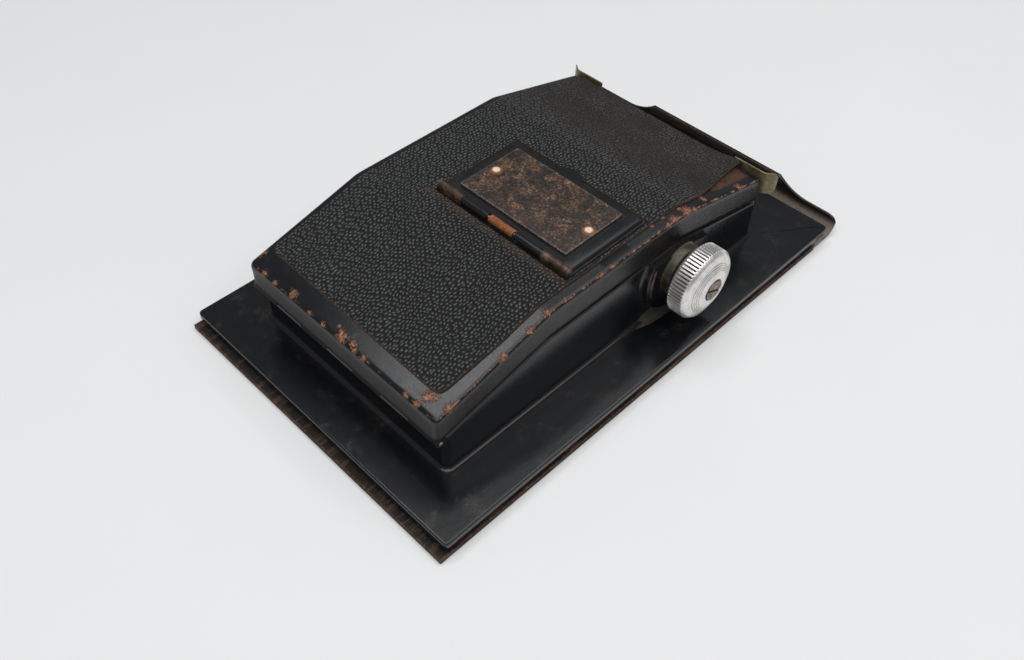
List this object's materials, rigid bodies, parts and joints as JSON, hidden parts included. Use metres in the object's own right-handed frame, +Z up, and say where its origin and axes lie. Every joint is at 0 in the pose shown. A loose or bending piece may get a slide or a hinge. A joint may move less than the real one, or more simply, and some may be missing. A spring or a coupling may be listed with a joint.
{
  "type": "roll-film back for a view camera",
  "caption": "Roll-film back for a view camera: flanged film box with hinged leather-covered back, window door, winding knob, spools, film gate and pull-out dark slide.",
  "frame": {"origin": "middle of the footprint on the camera-side face", "axes": "+X from the hinge end to the dark-slide handle, +Z up away from the camera, winding knob on the -Y side"},
  "size_m": [0.16, 0.1004, 0.0384],
  "materials": {
    "lacquer": "glossy black lacquer, worn to rust along the edges",
    "frame_steel": "dusty browned sheet steel",
    "steel": "satin",
    "nickel": "bright ribbed, satin face",
    "rust_plate": "mottled rust through black paint",
    "brass": "dull olive",
    "leather": "pebble grain, satin",
    "velvet": "black velvet pile",
    "red_glass": "ruby celluloid",
    "rivet": "off-white, chipped",
    "rust_spring": "orange rust",
    "spool": "black"
  },
  "bodies": {
    "base": {"guide_frame": "frame_steel", "slide_rails": "lacquer", "gate_plate": "lacquer", "flange_plate": "lacquer", "tray": "lacquer", "slide_velvet": "velvet", "tray_hinge_leaf": "lacquer", "hinge_pin": "steel", "latch_base": "brass", "latch_rivets": "brass", "shaft_bush": "brass", "pawl_spring": "steel", "pawl_rivet": "steel", "supply_pivot": "steel", "pull_pin_bushes": "nickel", "takeup_pin_spring": "steel", "supply_pin_spring": "steel", "roller_axles": "steel", "spring_bridge": "lacquer", "pressure_springs": "steel", "spring_rivets": "steel"},
    "slide": {"dark_slide": "lacquer"},
    "cover": {"cover": "lacquer", "cover_leather": "leather", "cover_hinge_leaf": "lacquer", "window_frame": "lacquer", "door_pin": "steel", "door_spring": "rust_spring", "red_window": "red_glass"},
    "door": {"window_door": "lacquer", "door_plate": "rust_plate", "door_rivets": "rivet"},
    "near_latch": {"latch_near": "brass"},
    "far_latch": {"latch_far": "brass"},
    "winder": {"winding_knob": "nickel", "knob_screw": "frame_steel", "winding_shaft": "steel", "ratchet_wheel": "brass"},
    "takeup": {"takeup_spool": "spool"},
    "supply": {"supply_spool": "spool"},
    "takeup_pin": {"takeup_pull_pin": "nickel"},
    "supply_pin": {"supply_pull_pin": "nickel"},
    "hinge_roller": {"roller_hinge_end": "nickel"},
    "latch_roller": {"roller_latch_end": "nickel"},
    "pressure": {"pressure_plate": "lacquer"}
  },
  "joints": [
    {"name": "cover_hinge", "type": "hinge", "parent": "base", "child": "cover", "pos_m": [-0.0657, 0, 0.0179], "axis": [0, -1, 0], "range_deg": [0, 110]},
    {"name": "window_door_hinge", "type": "hinge", "parent": "cover", "child": "door", "pos_m": [-0.0196, 0, 0.03735], "axis": [0, -1, 0], "range_deg": [0, 110], "stiffness_Nm_per_rad": 0.0015, "springref_deg": -28.65},
    {"name": "dark_slide_pull", "type": "slide", "parent": "base", "child": "slide", "axis": [1, 0, 0], "range_m": [0, 0.14]},
    {"name": "winding_knob_turn", "type": "hinge", "parent": "base", "child": "winder", "pos_m": [0.0165, -0.04, 0.0195], "axis": [0, -1, 0], "continuous": true},
    {"name": "takeup_spool_turn", "type": "hinge", "parent": "base", "child": "takeup", "pos_m": [0.0165, 0, 0.0195], "axis": [0, -1, 0], "continuous": true},
    {"name": "supply_spool_turn", "type": "hinge", "parent": "base", "child": "supply", "pos_m": [-0.0282, 0, 0.0195], "axis": [0, -1, 0], "continuous": true},
    {"name": "hinge_roller_turn", "type": "hinge", "parent": "base", "child": "hinge_roller", "pos_m": [-0.05585, 0, 0.00725], "axis": [0, -1, 0], "continuous": true},
    {"name": "latch_roller_turn", "type": "hinge", "parent": "base", "child": "latch_roller", "pos_m": [0.04415, 0, 0.00725], "axis": [0, -1, 0], "continuous": true},
    {"name": "near_latch_flex", "type": "hinge", "parent": "base", "child": "near_latch", "pos_m": [0.05525, 0, 0.013], "axis": [0, 1, 0], "range_deg": [0, 10], "stiffness_Nm_per_rad": 0.004, "springref_deg": -2.86},
    {"name": "far_latch_flex", "type": "hinge", "parent": "base", "child": "far_latch", "pos_m": [0.05525, 0, 0.013], "axis": [0, 1, 0], "range_deg": [0, 10], "stiffness_Nm_per_rad": 0.004, "springref_deg": -2.86},
    {"name": "takeup_pin_pull", "type": "slide", "parent": "base", "child": "takeup_pin", "axis": [0, 1, 0], "range_m": [0, 0.003], "stiffness_N_per_m": 150, "springref_m": -0.002, "deforming": ["takeup_pin_spring"]},
    {"name": "supply_pin_pull", "type": "slide", "parent": "base", "child": "supply_pin", "axis": [0, 1, 0], "range_m": [0, 0.003], "stiffness_N_per_m": 150, "springref_m": -0.002, "deforming": ["supply_pin_spring"]},
    {"name": "pressure_plate_lift", "type": "slide", "parent": "base", "child": "pressure", "axis": [0, 0, 1], "range_m": [0, 0.0008], "stiffness_N_per_m": 300, "springref_m": -0.001, "deforming": ["pressure_springs"]}
  ],
  "couplings": [
    {"joint": "takeup_spool_turn", "follows": "winding_knob_turn", "ratio": 1}
  ]
}
